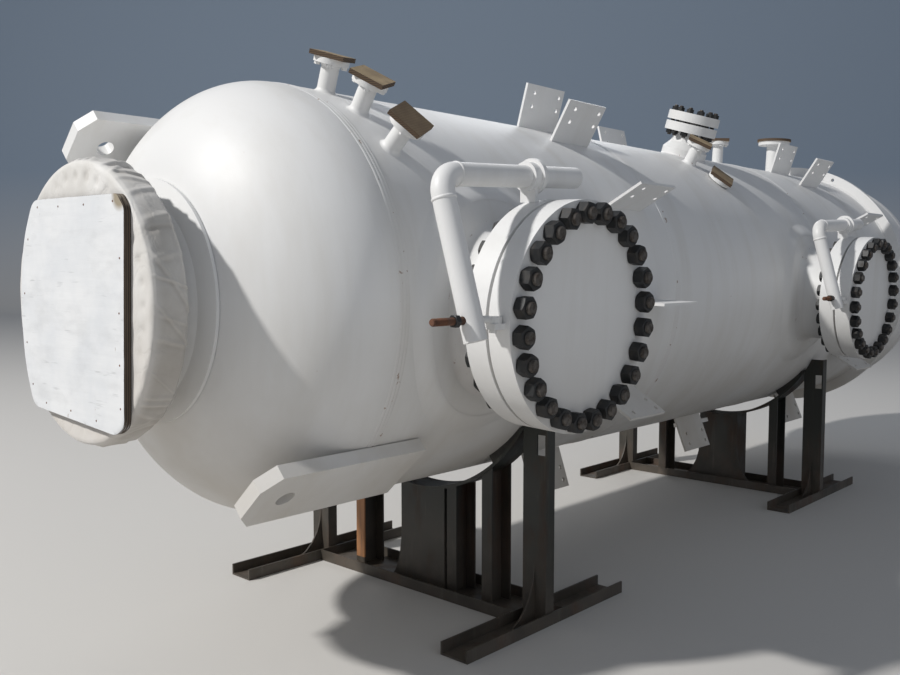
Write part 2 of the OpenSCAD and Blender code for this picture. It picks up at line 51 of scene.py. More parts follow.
# the vessel's main sizes in metres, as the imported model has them; manwayReach runs from the shell to the gap
# between a manway's flange and its cover
vessel = {"radius": 0.95, "axisHeight": 1.58, "seamX": -1.092, "length": 6.29, "wall": 0.046,
          "headStraight": 0.04, "headDepth": 0.57, "manwayAngle": 92.6, "manwayReach": 0.302}
manways = [
    {"name": "manway_1", "x": -0.492, "size": 1.0},
    {"name": "manway_2", "x": 2.881, "size": 0.865},
]
gapPlane = vessel["radius"] + vessel["manwayReach"]


# Surfaces: every shape below is an array of points (rows, columns, 3) joined to its neighbours by quads.

def gridFaces(rows, cols, closeRows=False, closeCols=False):
    # quad (i, j) joins points (i, j), (i, j+1), (i+1, j+1) and (i+1, j), wrapping round where it is closed
    i = np.arange(rows if closeRows else rows - 1)[:, None]
    j = np.arange(cols if closeCols else cols - 1)[None, :]
    below, right = (i + 1) % rows, (j + 1) % cols
    corners = [i * cols + j, i * cols + right, below * cols + right, below * cols + j]
    return np.stack(corners, -1).reshape(-1, 4)


def surface(points, closeRows=False, closeCols=False):
    return points.reshape(-1, 3), gridFaces(points.shape[0], points.shape[1], closeRows, closeCols)


def joined(parts):
    # stacks several surfaces into one, with each one's faces counted on from the last
    starts = np.cumsum([0] + [len(points) for points, faces in parts[:-1]])
    allFaces = [faces + start for (points, faces), start in zip(parts, starts)]
    return np.concatenate([points for points, faces in parts]), np.concatenate(allFaces)


def copies(part, places):
    # one copy of a surface for each 3 by 4 matrix in places
    points, faces = part
    moved = np.einsum("kij,nj->kni", places[:, :, :3], points) + places[:, None, :, 3]
    starts = (np.arange(len(places)) * len(points))[:, None, None]
    return moved.reshape(-1, 3), (faces[None] + starts).reshape(-1, 4)


def piece(name, part, material, smoothAngle=35, uv=None, attributes=None):
    # one object from a surface: smooth but for edges sharper than smoothAngle, and riding on the vessel
    points, faces = part
    mesh = bpy.data.meshes.new(name)
    mesh.vertices.add(len(points))
    mesh.vertices.foreach_set("co", np.asarray(points, np.float32).ravel())
    mesh.loops.add(faces.size)
    mesh.loops.foreach_set("vertex_index", faces.ravel().astype(np.int32))
    mesh.polygons.add(len(faces))
    mesh.polygons.foreach_set("loop_start", np.arange(0, faces.size, faces.shape[1], dtype=np.int32))
    mesh.polygons.foreach_set("use_smooth", np.ones(len(faces), bool))
    mesh.update(calc_edges=True)
    if uv is not None:
        layer = mesh.uv_layers.new(name="UVMap")
        layer.data.foreach_set("uv", np.asarray(uv, np.float32).reshape(-1, 2)[faces.ravel()].ravel())
    for key, values in (attributes or {}).items():
        attribute = mesh.attributes.new(key, "FLOAT", "POINT")
        attribute.data.foreach_set("value", np.asarray(values, np.float32).ravel())
    mesh.validate()
    if smoothAngle:
        mesh.set_sharp_from_angle(angle=math.radians(smoothAngle))
    made = bpy.data.objects.new(name, mesh)
    bpy.context.scene.collection.objects.link(made)
    made.data.materials.append(material)
    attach(made, "root")
    return made


def turned(profile, steps):
    # a profile of (radius, height) carried round the z axis: (r cos t, r sin t, h)
    t = np.linspace(0, 2 * np.pi, steps, endpoint=False)[None, :]
    r, h = profile[:, :1], profile[:, 1:2]
    return surface(np.stack([r * np.cos(t), r * np.sin(t), h + 0 * t], -1), closeCols=True)


def radialFrame(x, angle):
    # columns X, Y, Z and place of a frame on the vessel axis, its Z turned from the top towards -Y
    a = math.radians(angle)
    return np.array([[1, 0, 0, x], [0, math.cos(a), -math.sin(a), 0],
                     [0, math.sin(a), math.cos(a), vessel["axisHeight"]]], float)


def combined(outer, inner):
    # the product of a 3 by 4 place with an array of 3 by 4 places
    turn = np.einsum("ij,kjl->kil", outer[:, :3], inner[:, :, :3])
    move = np.einsum("ij,kj->ki", outer[:, :3], inner[:, :, 3]) + outer[:, 3]
    return np.concatenate([turn, move[:, :, None]], 2)


def boltCircle(count, radius, height, phase, flip=False, seed=1):
    # places on a circle about Z, each turned by its own amount about its axis, or upside down under a flange
    spot = np.radians(phase + 360.0 * np.arange(count) / count)
    own = np.random.default_rng(seed).uniform(0, 2 * np.pi, count)
    up = -1.0 if flip else 1.0
    places = np.zeros((count, 3, 4))
    places[:, 0, 0], places[:, 0, 1] = np.cos(own), -np.sin(own) * up
    places[:, 1, 0], places[:, 1, 1] = np.sin(own), np.cos(own) * up
    places[:, 2, 2] = up
    places[:, 0, 3], places[:, 1, 3], places[:, 2, 3] = radius * np.cos(spot), radius * np.sin(spot), height
    return places


# Shader nodes: small helpers, so that a material reads as a list of its colours and masks.

def feed(tree, socket, value):
    # a link where the value is another node's output, else the plain value
    if isinstance(value, bpy.types.NodeSocket):
        tree.links.new(value, socket)
    else:
        socket.default_value = value


def node(tree, kind, links=None, **values):
    # one shader node: plain values go on its properties, links holds {socket: value or output socket}
    made = tree.nodes.new(kind)
    for key, value in values.items():
        setattr(made, key, value)
    for key, value in (links or {}).items():
        feed(tree, made.inputs[key], value)
    return made


def arithmetic(tree, operation, a, b=0.0, clamp=False):
    return node(tree, "ShaderNodeMath", {0: a, 1: b}, operation=operation, use_clamp=clamp).outputs[0]


def product(tree, *values):
    result = values[0]
    for value in values[1:]:
        result = arithmetic(tree, "MULTIPLY", result, value)
    return result


def vectors(tree, operation, a, b):
    # a product of two vectors is a vector, and a dot product or a distance is a value
    made = node(tree, "ShaderNodeVectorMath", {0: a, 1: b}, operation=operation)
    return made.outputs["Vector" if operation == "MULTIPLY" else "Value"]


def axes(tree, place):
    return node(tree, "ShaderNodeSeparateXYZ", {0: place}).outputs


def noise(tree, place, scale, detail, distortion=0.0, roughness=0.5):
    links = {"Vector": place, "Scale": scale, "Detail": detail, "Distortion": distortion}
    return node(tree, "ShaderNodeTexNoise", {**links, "Roughness": roughness}).outputs["Fac"]


def remap(tree, value, low, high, outLow=0.0, outHigh=1.0):
    links = {"Value": value, "From Min": low, "From Max": high, "To Min": outLow, "To Max": outHigh}
    return node(tree, "ShaderNodeMapRange", links, clamp=True).outputs[0]


def mixed(tree, factor, a, b):
    made = node(tree, "ShaderNodeMix", data_type="RGBA")
    feed(tree, made.inputs[0], factor)
    for number, color in ((6, a), (7, b)):
        feed(tree, made.inputs[number], color if isinstance(color, bpy.types.NodeSocket) else (*color, 1.0))
    return made.outputs[2]


def layered(tree, base, layers):
    # colours laid over a base one after another, each by its mask times its amount
    for mask, amount, color in layers:
        base = mixed(tree, product(tree, mask, amount), base, color)
    return base


# Node groups: masks that several materials share.

def newGroup(name, inputs, outputs):
    group = bpy.data.node_groups.new(name, "ShaderNodeTree")
    kinds = {"f": "NodeSocketFloat", "v": "NodeSocketVector"}
    for label, kind, value in inputs:
        socket = group.interface.new_socket(label, in_out="INPUT", socket_type=kinds[kind])
        if value is not None:
            socket.default_value = value
    for label in outputs:
        group.interface.new_socket(label, in_out="OUTPUT", socket_type=kinds["f"])
    return group, group.nodes.new("NodeGroupInput").outputs, group.nodes.new("NodeGroupOutput").inputs


def blotchGroup():
    # a mask of soft blotches: noise of the object's coordinates, cut between Low and High
    tree, given, result = newGroup("blotches", [
        ("Vector", "v", None), ("Scale", "f", 4.0), ("Stretch", "v", (1, 1, 1)), ("Detail", "f", 5.0),
        ("Low", "f", 0.45), ("High", "f", 0.65)], ["Mask"])
    stretched = vectors(tree, "MULTIPLY", given["Vector"], given["Stretch"])
    cloud = noise(tree, stretched, given["Scale"], given["Detail"], roughness=0.6)
    feed(tree, result["Mask"], remap(tree, cloud, given["Low"], given["High"]))
    return tree


def lowerGroup():
    # a mask that grows downwards between Top and Bottom, broken up by noise
    tree, given, result = newGroup("lowerFade", [
        ("Vector", "v", None), ("Top", "f", 1.6), ("Bottom", "f", 0.3), ("Scale", "f", 3.0)], ["Mask"])
    rise = remap(tree, axes(tree, given["Vector"])["Z"], given["Top"], given["Bottom"])
    broken = remap(tree, noise(tree, given["Vector"], given["Scale"], 6.0), 0.25, 0.75, 0.45, 1.25)
    feed(tree, result["Mask"], arithmetic(tree, "MULTIPLY", rise, broken, True))
    return tree


def grainGroup():
    # wood grain: noise drawn out along one axis, with fine fibres on it
    tree, given, result = newGroup("woodGrain", [
        ("Vector", "v", None), ("Along", "v", (40, 40, 2))], ["Grain", "Fibre"])
    drawn = vectors(tree, "MULTIPLY", given["Vector"], given["Along"])
    feed(tree, result["Grain"], noise(tree, drawn, 1.0, 3.0, distortion=0.6))
    feed(tree, result["Fibre"], noise(tree, drawn, 9.0, 2.0))
    return tree


def facingGroup():
    # how far a surface turns away from an axis: 0 where its normal lies along the axis, 1 across it
    tree, given, result = newGroup("facing", [("Axis", "v", (1, 0, 0))], ["Side"])
    along = vectors(tree, "DOT_PRODUCT", node(tree, "ShaderNodeNewGeometry").outputs["Normal"], given["Axis"])
    feed(tree, result["Side"], remap(tree, arithmetic(tree, "ABSOLUTE", along), 0.8, 0.6))
    return tree


groups = {"blotches": blotchGroup(), "lowTint": lowerGroup(), "grain": grainGroup(), "facing": facingGroup()}


def blotchMask(tree, place, scale, detail, low, high, stretch=(1, 1, 1)):
    links = {"Vector": place, "Scale": scale, "Stretch": stretch, "Detail": detail, "Low": low, "High": high}
    return node(tree, "ShaderNodeGroup", links, node_tree=groups["blotches"]).outputs[0]


def lowerMask(tree, place, top, bottom, scale):
    links = {"Vector": place, "Top": top, "Bottom": bottom, "Scale": scale}
    return node(tree, "ShaderNodeGroup", links, node_tree=groups["lowTint"]).outputs[0]


def grain(tree, place, along):
    return node(tree, "ShaderNodeGroup", {"Vector": place, "Along": along}, node_tree=groups["grain"]).outputs


def sideMask(tree, axis):
    return node(tree, "ShaderNodeGroup", {"Axis": axis}, node_tree=groups["facing"]).outputs[0]


# Materials: each one holds its own shader, and its numbers are noise scales, mask limits and amounts.

def newMaterial(name, roughness=0.5, metallic=0.0, **plain):
    material = bpy.data.materials.new(name)
    material.use_nodes = True
    tree = material.node_tree
    shader = tree.nodes["Principled BSDF"]
    shader.inputs["Roughness"].default_value = roughness
    shader.inputs["Metallic"].default_value = metallic
    for key, value in plain.items():
        shader.inputs[key.replace("_", " ")].default_value = value
    return material, tree, shader, tree.nodes.new("ShaderNodeTexCoord").outputs["Object"]


def bump(tree, shader, height, strength, distance):
    made = node(tree, "ShaderNodeBump", {"Height": height, "Strength": strength, "Distance": distance})
    feed(tree, shader.inputs["Normal"], made.outputs["Normal"])


def vesselPaint(name, tintTop, tintColor, rustLow):
    # glossy white paint: faint clouds of dirt, browner towards the ground, thin runs and a few rust specks
    material, tree, shader, place = newMaterial(name, Specular_IOR_Level=0.35)
    cloudy = blotchMask(tree, place, 1.3, 7.0, 0.35, 0.8)
    runs = blotchMask(tree, place, 6.0, 6.0, 0.48, 0.78, (1, 0.35, 0.10))
    specks = blotchMask(tree, place, 26.0, 3.0, rustLow, rustLow + 0.03)
    lowTint = lowerMask(tree, place, tintTop, 0.35, 2.2)
    color = layered(tree, (0.775, 0.775, 0.77), [
        (cloudy, 0.35, (0.69, 0.69, 0.685)), (runs, 0.34, (0.55, 0.52, 0.46)),
        (lowTint, 0.80, tintColor), (specks, 0.7, (0.24, 0.12, 0.06))])
    feed(tree, shader.inputs["Base Color"], color)
    rough = arithmetic(tree, "ADD", remap(tree, cloudy, 0, 1, 0.40, 0.52), product(tree, lowTint, 0.22))
    feed(tree, shader.inputs["Roughness"], rough)
    bump(tree, shader, noise(tree, place, 90.0, 2.0), 0.06, 0.003)
    return material


# one flange of the near cradle's far inner leg has lost its paint: its place in Y and its limits in X and Z
bareFlange = {"y": 0.455, "halfWidth": 0.036, "xBelow": -0.055, "zAbove": 0.061,
              "fadeHigh": 0.95, "fadeLow": 0.80}


def cradlePaint():
    # dark grey-green paint gone dull, with rust that runs down from patches and dust low down
    material, tree, shader, place = newMaterial("cradlePaint")
    patches = blotchMask(tree, place, 5.0, 9.0, 0.50, 0.66, (1, 1, 0.35))
    scratches = blotchMask(tree, place, 22.0, 4.0, 0.58, 0.70, (1, 1, 0.08))
    lowTint = lowerMask(tree, place, 0.55, 0.0, 6.0)
    color = layered(tree, (0.016, 0.018, 0.015), [
        (scratches, 1.0, (0.048, 0.048, 0.040)), (patches, 0.55, (0.085, 0.040, 0.022)),
        (lowTint, 0.35, (0.24, 0.19, 0.15))])
    spot = axes(tree, place)
    band = node(tree, "ShaderNodeMath", {0: spot["Y"], 1: bareFlange["y"], 2: bareFlange["halfWidth"]},
                operation="COMPARE").outputs[0]
    bare = product(tree, band, arithmetic(tree, "LESS_THAN", spot["X"], bareFlange["xBelow"]),
                   arithmetic(tree, "GREATER_THAN", spot["Z"], bareFlange["zAbove"]),
                   remap(tree, spot["Z"], bareFlange["fadeHigh"], bareFlange["fadeLow"]),
                   remap(tree, scratches, 0.0, 1.0, 0.95, 0.5))
    feed(tree, shader.inputs["Base Color"], mixed(tree, bare, color, (0.40, 0.19, 0.085)))
    feed(tree, shader.inputs["Roughness"], remap(tree, patches, 0, 1, 0.48, 0.85))
    bump(tree, shader, product(tree, noise(tree, place, 60.0, 6.0), patches), 0.5, 0.004)
    return material


def stained(values):
    # a colour stained with another in blotches, its roughness following the stain and fine grit where given
    plain = values.get("roughness", 0.5), values.get("metallic", 0.0)
    material, tree, shader, place = newMaterial(values["name"], *plain)
    stain = blotchMask(tree, place, *values["blotches"])
    feed(tree, shader.inputs["Base Color"], mixed(tree, stain, values["color"], values["stain"]))
    if "roughRange" in values:
        feed(tree, shader.inputs["Roughness"], remap(tree, stain, 0, 1, *values["roughRange"]))
    if "grit" in values:
        scale, detail, strength, distance = values["grit"]
        bump(tree, shader, noise(tree, place, scale, detail), strength, distance)
    return material


def eyeBolt(name, edge):
    # white paint, and bare rusty thread where X is less than the edge
    material, tree, shader, place = newMaterial(name, 0.7)
    x = axes(tree, place)["X"]
    deep = blotchMask(tree, place, 30.0, 8.0, 0.35, 0.7)
    rust = mixed(tree, deep, (0.17, 0.075, 0.038), (0.075, 0.036, 0.024))
    bare = arithmetic(tree, "LESS_THAN", x, edge)
    feed(tree, shader.inputs["Base Color"], mixed(tree, bare, (0.70, 0.70, 0.69), rust))
    thread = arithmetic(tree, "PINGPONG", product(tree, x, 700.0), 1.0)
    bump(tree, shader, product(tree, thread, bare), 0.6, 0.002)
    return material


def stripes(tree, place, across):
    # glued layers: a value that goes up and down between 0 and 1 across them
    return arithmetic(tree, "PINGPONG", vectors(tree, "DOT_PRODUCT", place, across), 1.0)


def plywood(name, faceColor, dirtColor, edgeColor, axis, along, plies=260.0):
    # plywood: grain on its faces, and dark stripes of glued layers on its edges, so many to the metre
    material, tree, shader, place = newMaterial(name, 0.8)
    wood = grain(tree, place, along)
    face = layered(tree, faceColor, [
        (remap(tree, wood["Grain"], 0.3, 0.7), 0.55, tuple(c * 0.62 for c in faceColor)),
        (blotchMask(tree, place, 9.0, 6.0, 0.40, 0.72), 0.6, dirtColor)])
    stripe = stripes(tree, place, tuple(a * plies for a in axis))
    edge = mixed(tree, remap(tree, stripe, 0.35, 0.65), tuple(c * 0.45 for c in edgeColor), edgeColor)
    feed(tree, shader.inputs["Base Color"], mixed(tree, sideMask(tree, axis), face, edge))
    bump(tree, shader, remap(tree, wood["Fibre"], 0.35, 0.7), 0.25, 0.0015)
    return material


def paintedBoard(wornCorner, plies=230.0):
    # plywood brushed with white paint: brush lines, clouds, scuffs, scratches, chips and bare brown edges
    material, tree, shader, place = newMaterial("paintedBoard", 0.62)
    wood = grain(tree, place, (1, 2.2, 34))
    clouds = blotchMask(tree, place, 3.6, 6.0, 0.40, 0.68)
    scuffs = blotchMask(tree, place, 11.0, 10.0, 0.50, 0.70, (1, 0.4, 1))
    scratches = blotchMask(tree, place, 34.0, 3.0, 0.64, 0.70, (1, 0.10, 1))
    chips = blotchMask(tree, place, 55.0, 4.0, 0.70, 0.74, (1, 1, 0.3))
    face = layered(tree, (0.78, 0.79, 0.80), [
        (remap(tree, wood["Grain"], 0.35, 0.75), 0.35, (0.66, 0.67, 0.68)),
        (clouds, 0.45, (0.58, 0.61, 0.65)), (scuffs, 0.35, (0.52, 0.53, 0.54)),
        (scratches, 0.45, (0.40, 0.41, 0.42)), (chips, 0.7, (0.22, 0.15, 0.09))])
    # bare wood at the upper corner nearest the manways
    away = arithmetic(tree, "ADD", vectors(tree, "DISTANCE", place, wornCorner), product(tree, scuffs, 0.02))
    face = mixed(tree, remap(tree, away, 0.035, 0.060, 0.85, 0.0), face, (0.26, 0.20, 0.11))
    stripe = stripes(tree, place, (plies, 0, 0))
    edge = mixed(tree, remap(tree, stripe, 0.3, 0.7), (0.030, 0.023, 0.017), (0.11, 0.075, 0.048))
    feed(tree, shader.inputs["Base Color"], mixed(tree, sideMask(tree, (1, 0, 0)), face, edge))
    bump(tree, shader, wood["Fibre"], 0.22, 0.0015)
    return material


def clothWeave(name, color, dirtAndShade):
    # coated cloth: a fine crossed weave from the sheet's own UV, grey dirt, brown dust low down and painted
    # shade from an attribute of the mesh
    material, tree, shader, place = newMaterial(name, 0.72, Sheen_Weight=0.25)
    uv = tree.nodes["Texture Coordinate"].outputs["UV"]
    warp, weft = [node(tree, "ShaderNodeTexWave", {"Vector": uv, "Scale": 90.0, "Distortion": 0.4},
                       bands_direction=direction).outputs["Fac"] for direction in ("X", "Y")]
    weave = product(tree, warp, weft)
    stain = blotchMask(tree, place, 4.5, 8.0, 0.38, 0.75)
    low = lowerMask(tree, place, 1.75, 0.9, 5.0)
    # painted shade: the mesh carries an amount at each point, and the cloth goes that far towards a dark
    # brown-grey
    paintedShade = node(tree, "ShaderNodeAttribute", attribute_name="paintedShade").outputs["Fac"]
    shadeAmount = product(tree, paintedShade, remap(tree, stain, 0, 1, 0.75, 1.0))
    base = layered(tree, color, [(stain, 0.55, dirtAndShade), (low, 0.45, (0.42, 0.34, 0.26)), (weave, 0.12, dirtAndShade),
                                 (shadeAmount, 1.0, (0.27, 0.235, 0.19))])
    # creases: thin ridges where a noise passes its middle value, darkened along them as painted shade
    offMiddle = arithmetic(tree, "SUBTRACT", noise(tree, place, 5.5, 4.0, distortion=0.5), 0.5)
    crease = remap(tree, arithmetic(tree, "ABSOLUTE", offMiddle), 0.0, 0.030)
    base = mixed(tree, remap(tree, crease, 0.0, 0.6, 0.12, 0.0), base, dirtAndShade)
    feed(tree, shader.inputs["Base Color"], base)
    bump(tree, shader, arithmetic(tree, "ADD", product(tree, weave, 0.15), crease), 0.22, 0.004)
    return material


# plain finishes: blotches gives noise scale, detail and the mask's limits; grit gives scale, detail and bump
stains = {
    "rust": {"name": "rustySteel", "roughness": 0.85, "blotches": (30.0, 8.0, 0.35, 0.7),
             "color": (0.19, 0.080, 0.040), "stain": (0.075, 0.036, 0.024), "grit": (160.0, 5.0, 0.5, 0.002)},
    "bolt": {"name": "blackBolt", "roughRange": (0.5, 0.7), "blotches": (24.0, 6.0, 0.50, 0.72),
             "color": (0.010, 0.011, 0.012), "stain": (0.045, 0.038, 0.032),
             "grit": (300.0, 3.0, 0.15, 0.001)},
    "stud": {"name": "studSteel", "metallic": 0.55, "roughRange": (0.4, 0.8),
             "blotches": (45.0, 5.0, 0.4, 0.7), "color": (0.115, 0.105, 0.095),
             "stain": (0.040, 0.028, 0.022)},
    "gasket": {"name": "gasketSheet", "roughness": 0.8, "blotches": (14.0, 5.0, 0.4, 0.7),
               "color": (0.018, 0.017, 0.016), "stain": (0.09, 0.05, 0.03)},
    "rubber": {"name": "packingRubber", "roughness": 0.75, "blotches": (16.0, 6.0, 0.4, 0.7),
               "color": (0.014, 0.014, 0.013), "stain": (0.045, 0.040, 0.034)},
}
materials = {key: stained(values) for key, values in stains.items()}
materials["vessel"] = vesselPaint("vesselPaint", 1.60, (0.43, 0.375, 0.30), 0.76)
materials["weld"] = vesselPaint("weldPaint", 1.75, (0.40, 0.33, 0.27), 0.66)
materials["cradle"] = cradlePaint()
materials["board"] = paintedBoard((-1.949, -0.385, 1.973))
materials["ply"] = plywood("barePlywood", (0.40, 0.30, 0.175), (0.10, 0.070, 0.045), (0.13, 0.085, 0.052),
                           (0, 0, 1), (30, 30, 3))
materials["endPly"] = plywood("endPlywood", (0.26, 0.17, 0.10), (0.10, 0.07, 0.05), (0.12, 0.075, 0.045),
                              (1, 0, 0), (3, 40, 3))
materials["cloth"] = clothWeave("coverCloth", (0.76, 0.75, 0.73), (0.50, 0.475, 0.43))
print("materials made:", len(materials))

slotMaterials = {"vessel_paint": "vessel", "cradle_paint": "cradle", "tarpaulin": "cloth",
                 "painted_board": "board", "bare_plywood": "ply", "gasket": "gasket", "rusty_steel": "rust",
                 "packing_rubber": "rubber"}
slotOf = {row["node"]: row["material_slot"] for row in frame["record"]["subparts"]}
eyeBoltEdge = 0.655  # from a manway's middle to where the eye bolt's paint ends, at size 1
for name, cadNode in nodes.items():
    cadNode.data.materials.clear()
    finish = "endPly" if name == "outlet_cover" else slotMaterials[slotOf[name]]
    cadNode.data.materials.append(materials[finish])
for manway in manways:
    edge = manway["x"] - eyeBoltEdge * manway["size"]
    nodes[manway["name"] + "_eye_bolt"].data.materials[0] = eyeBolt(manway["name"] + "EyeBolt", edge)
print("nodes dressed")


# Nuts and studs

def hexNut(flats, height, bore, steps=36):
    # hexagon radius a / cos(t mod 60 - 30), its corners cut back by 30 degree cones above and below
    t = np.linspace(0, 2 * np.pi, steps, endpoint=False)
    corner = flats / 2 / np.cos(np.mod(t, np.pi / 3) - np.pi / 6)
    face, dish = 0.94 * flats / 2, 0.004  # the flat face's radius, and how deep the bore's rim is dished
    drop = (corner - face) * math.tan(math.radians(30))
    rings = [(bore, 0), (face, 0), (corner, drop), (corner, height - drop), (face, height),
             (bore * 1.08, height), (bore, height - dish)]
    points = np.stack([np.stack([r * np.cos(t), r * np.sin(t), z + 0 * t], -1) for r, z in rings])
    return surface(points, closeRows=True, closeCols=True)


def threadedEnd(radius, low, high, pitch, steps=20):
    # rings of thread: radius r, and r less 0.35 of the pitch, by turns, with a chamfered flat at each end
    middle, lowChamfer, highChamfer, depth = 0.0005, 0.002, 0.004, 0.35 * pitch
    turns = np.arange(low + lowChamfer, high - highChamfer, pitch / 2)
    ridge = radius - depth * (np.arange(len(turns)) % 2)
    rings = [[middle, low], [radius * 0.86, low], *np.stack([ridge, turns], 1),
             [radius * 0.84, high], [middle, high]]
    return turned(np.array(rings), steps)


# the near manway's bolts, which the other manway takes with its size, and values that both share
bolting = {"flats": 0.0794, "nutHeight": 0.050, "backHeight": 0.032, "studRadius": 0.0255, "end": 0.013,
           "circle": 0.419, "pitch": 0.0055, "flange": 0.102, "gap": 0.015,
           "armEdge": 0.698, "eyeFlats": 0.042, "eyeHeight": 0.024, "eyeRadius": 0.0142, "eyeReach": 0.130}
boltShared = {"count": 24, "phase": 7.5, "boreShare": 0.98, "start": 0.004,
              "eyeBore": 0.014, "eyePitch": 0.0036, "eyeOffset": 0.011}


def manwayBolts():
    nutParts, studParts, threads = [], [], []
    shared = boltShared
    for number, manway in enumerate(manways):
        size = {key: value * manway["size"] for key, value in bolting.items()}
        standing = radialFrame(manway["x"], vessel["manwayAngle"])
        outside = size["gap"] / 2 + size["flange"]
        # thick nuts and long stud ends in front, thin nuts and short ends behind
        for side, height, reach, seed in ((1, size["nutHeight"], size["end"], 3 + number),
                                          (-1, size["backHeight"], shared["start"], 5 + number)):
            circle = boltCircle(shared["count"], size["circle"], gapPlane + side * outside, shared["phase"],
                                side < 0, seed)
            places = combined(standing, circle)
            nut = hexNut(size["flats"], height, size["studRadius"] * shared["boreShare"])
            end = threadedEnd(size["studRadius"], shared["start"], height + reach, size["pitch"])
            nutParts.append(copies(nut, places))
            studParts.append(copies(end, places))
        # the eye bolt's nut and thread: their axis along -X, beside the davit's arm
        middle = gapPlane + size["gap"] / 2 + size["flange"] / 2
        across = np.array([[0, 0, -1, -size["armEdge"]], [0, 1, 0, shared["eyeOffset"]], [1, 0, 0, middle]])
        beside = combined(standing, across[None])
        nutParts.append(copies(hexNut(size["eyeFlats"], size["eyeHeight"], shared["eyeBore"]), beside))
        thread = threadedEnd(size["eyeRadius"], 0.0, size["eyeReach"], shared["eyePitch"])
        threads.append(copies(thread, beside))
    piece("manway_nuts", joined(nutParts), materials["bolt"], 30)
    piece("manway_stud_ends", joined(studParts), materials["stud"], 30)
    piece("eye_bolt_threads", joined(threads), materials["rust"], 30)


blank = {"x": 2.243, "angle": 17.3, "face": 1.166, "neck": 0.1505, "flange": 0.058, "gap": 0.012,
         "count": 12, "circle": 0.138, "phase": 15, "flats": 0.042, "height": 0.026,
         "stud": 0.0135, "end": 0.010, "start": 0.003, "pitch": 0.0036, "hidden": 0.004}


def blankBolts():
    standing = radialFrame(blank["x"], blank["angle"])
    nut = hexNut(blank["flats"], blank["height"], blank["stud"] * boltShared["boreShare"], 24)
    end = threadedEnd(blank["stud"], blank["start"], blank["height"] + blank["end"], blank["pitch"], 14)

    def around(height, flip, seed):
        circle = boltCircle(blank["count"], blank["circle"], height, blank["phase"], flip, seed)
        return combined(standing, circle)

    top = around(blank["face"] + blank["gap"] + blank["flange"], False, 11)
    under = around(blank["face"] - blank["flange"], True, 12)
    piece("blank_nuts", joined([copies(nut, top), copies(nut, under)]), materials["bolt"], 30)
    ends = joined([copies(end, top), copies(end, under)])
    piece("blank_stud_ends", ends, materials["stud"], 30)
    # the studs' shanks show in the gap between the flange and the blank
    heights = blank["face"] - blank["hidden"], blank["face"] + blank["gap"] + blank["hidden"]
    shank = turned(np.array([[blank["stud"], height] for height in heights]), 14)
    piece("blank_stud_shanks", copies(shank, around(0.0, False, 13)), materials["bolt"], 30)


manwayBolts()
blankBolts()
print("nuts and studs made")


# Shell courses and heads: one profile each, carried round the vessel axis

shells = {"steps": 360, "wave": 0.0004, "courses": 3, "courseRows": 16, "headRows": 36}
heads = [
    {"name": "near_head", "seam": vessel["seamX"], "towards": -1, "hole": 0.365},
    {"name": "far_head", "seam": vessel["seamX"] + vessel["length"], "towards": 1, "hole": 0.215},
]


def aboutAxis(profile, wave):
    # a closed profile of (x, r) turned about the vessel axis, its outer side waved a little like rolled plate
    t = np.linspace(0, 2 * np.pi, shells["steps"], endpoint=False)[None, :]
    x, r = profile[:, :1] + 0 * t, profile[:, 1:2]
    outside = r > vessel["radius"] * 0.97
    r = r + wave * (np.sin(7 * t + 5 * x) + np.sin(13 * t - 9 * x + 1)) * outside
    points = np.stack([x, -r * np.sin(t), vessel["axisHeight"] + r * np.cos(t)], -1)
    return surface(points, closeRows=True, closeCols=True)


def plate(name, profile, wave):
    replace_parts(piece(name + "_plate", aboutAxis(profile, wave), materials["vessel"]), name)


def shellPlates():
    course = vessel["length"] / shells["courses"]
    radius, wall = vessel["radius"], vessel["wall"]
    for number, name in enumerate(("shell_course_near", "shell_course_mid", "shell_course_far")):
        start = vessel["seamX"] + number * course
        x = np.linspace(start, start + course, shells["courseRows"])
        bothWays = np.r_[x, x[::-1]]
        plate(name, np.stack([bothWays, np.repeat([radius, radius - wall], len(x))], -1), shells["wave"])
    for head in heads:
        # an ellipse (depth sin a, R cos a) from the seam's straight lip to the nozzle's hole, and back inside
        a = np.linspace(0, math.acos(head["hole"] / radius), shells["headRows"])
        straight, depth = vessel["headStraight"], vessel["headDepth"]
        outer = np.stack([straight + depth * np.sin(a), radius * np.cos(a)], -1)
        inner = np.stack([straight + (depth - wall) * np.sin(a), (radius - wall) * np.cos(a)], -1)
        profile = np.concatenate([[[0.0, radius]], outer, inner[::-1], [[0.0, radius - wall]]])
        profile[:, 0] = head["seam"] + head["towards"] * profile[:, 0]
        plate(head["name"], profile, 0.0)


shellPlates()
print("shell and heads made")


# Cloth wrap over the end flange: a round cloth pulled over its face and rim and gathered behind it

# the last two values are how much painted shade goes into the face's dents and onto the skirt
wrap = {"steps": 900, "face": 0.5455, "rimRadius": 0.5505, "rimLength": 0.121, "skirt": 0.135,
        "hemRadius": 0.405, "hemBack": 0.062, "folds": 46, "pleats": 17, "pleatWidth": 0.016,
        "foldOnRim": 0.0060, "foldOnSkirt": 0.016, "rippleOnRim": 0.0012, "rippleOnSkirt": 0.004,
        "sag": 0.006, "hemWave": 0.006, "hemRagged": 0.004,
        "dents": 36, "dentCircle": 0.486, "dentRadius": 0.019, "dentDepth": 0.0100,
        "underBoard": 0.045, "boardFade": 0.06, "edgeFade": 0.012,
        "front": 0.0110, "frontLimit": 0.0098, "clearance": 0.0022, "dentShade": 0.22, "skirtShade": 0.25}
# flat facets of the rim, in rows at its front, middle and back: how many creases, the seed and the height
facetRows = [(31, 3, 0.0035), (21, 5, 0.0075), (27, 9, 0.0065)]


def angleFrom(t, place):
    # the angle from a place round a circle, between -pi and pi
    return np.angle(np.exp(1j * (t - place)))


